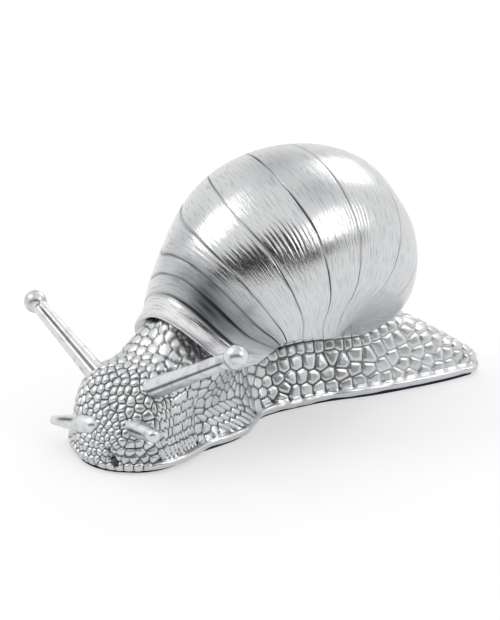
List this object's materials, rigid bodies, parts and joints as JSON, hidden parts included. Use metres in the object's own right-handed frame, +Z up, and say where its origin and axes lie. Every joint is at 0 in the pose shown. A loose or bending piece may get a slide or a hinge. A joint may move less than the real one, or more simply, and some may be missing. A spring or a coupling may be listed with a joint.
{
  "type": "snail figurine",
  "caption": "Cast silver-coloured snail ornament: smooth coiled shell screwed to a scaly body with eye stalks and feelers, standing on a felt pad.",
  "frame": {"origin": "centre of the bounding box on the floor, under the felt", "axes": "+Z up, head toward -Y, the snail's left toward +X, tail toward +Y"},
  "size_m": [0.1078, 0.1654, 0.0977],
  "materials": {
    "cast_silver": "cast and antiqued, dark in the recesses, polished on the scale tops",
    "polished_shell": "polished and brushed along the growth lines, engraved lines darkened",
    "polished_rod": "turned and polished",
    "steel": "zinc plated",
    "board": "plain hardboard",
    "felt": "dark navy wool felt"
  },
  "bodies": {
    "root": {"body": "cast_silver", "shell": "polished_shell", "left_eye_stalk": "polished_rod", "right_eye_stalk": "polished_rod", "left_feeler": "polished_rod", "right_feeler": "polished_rod", "shell_screw": "steel", "screw_washer": "steel", "locating_pin": "steel", "base_board": "board", "felt_pad": "felt"}
  },
  "joints": []
}
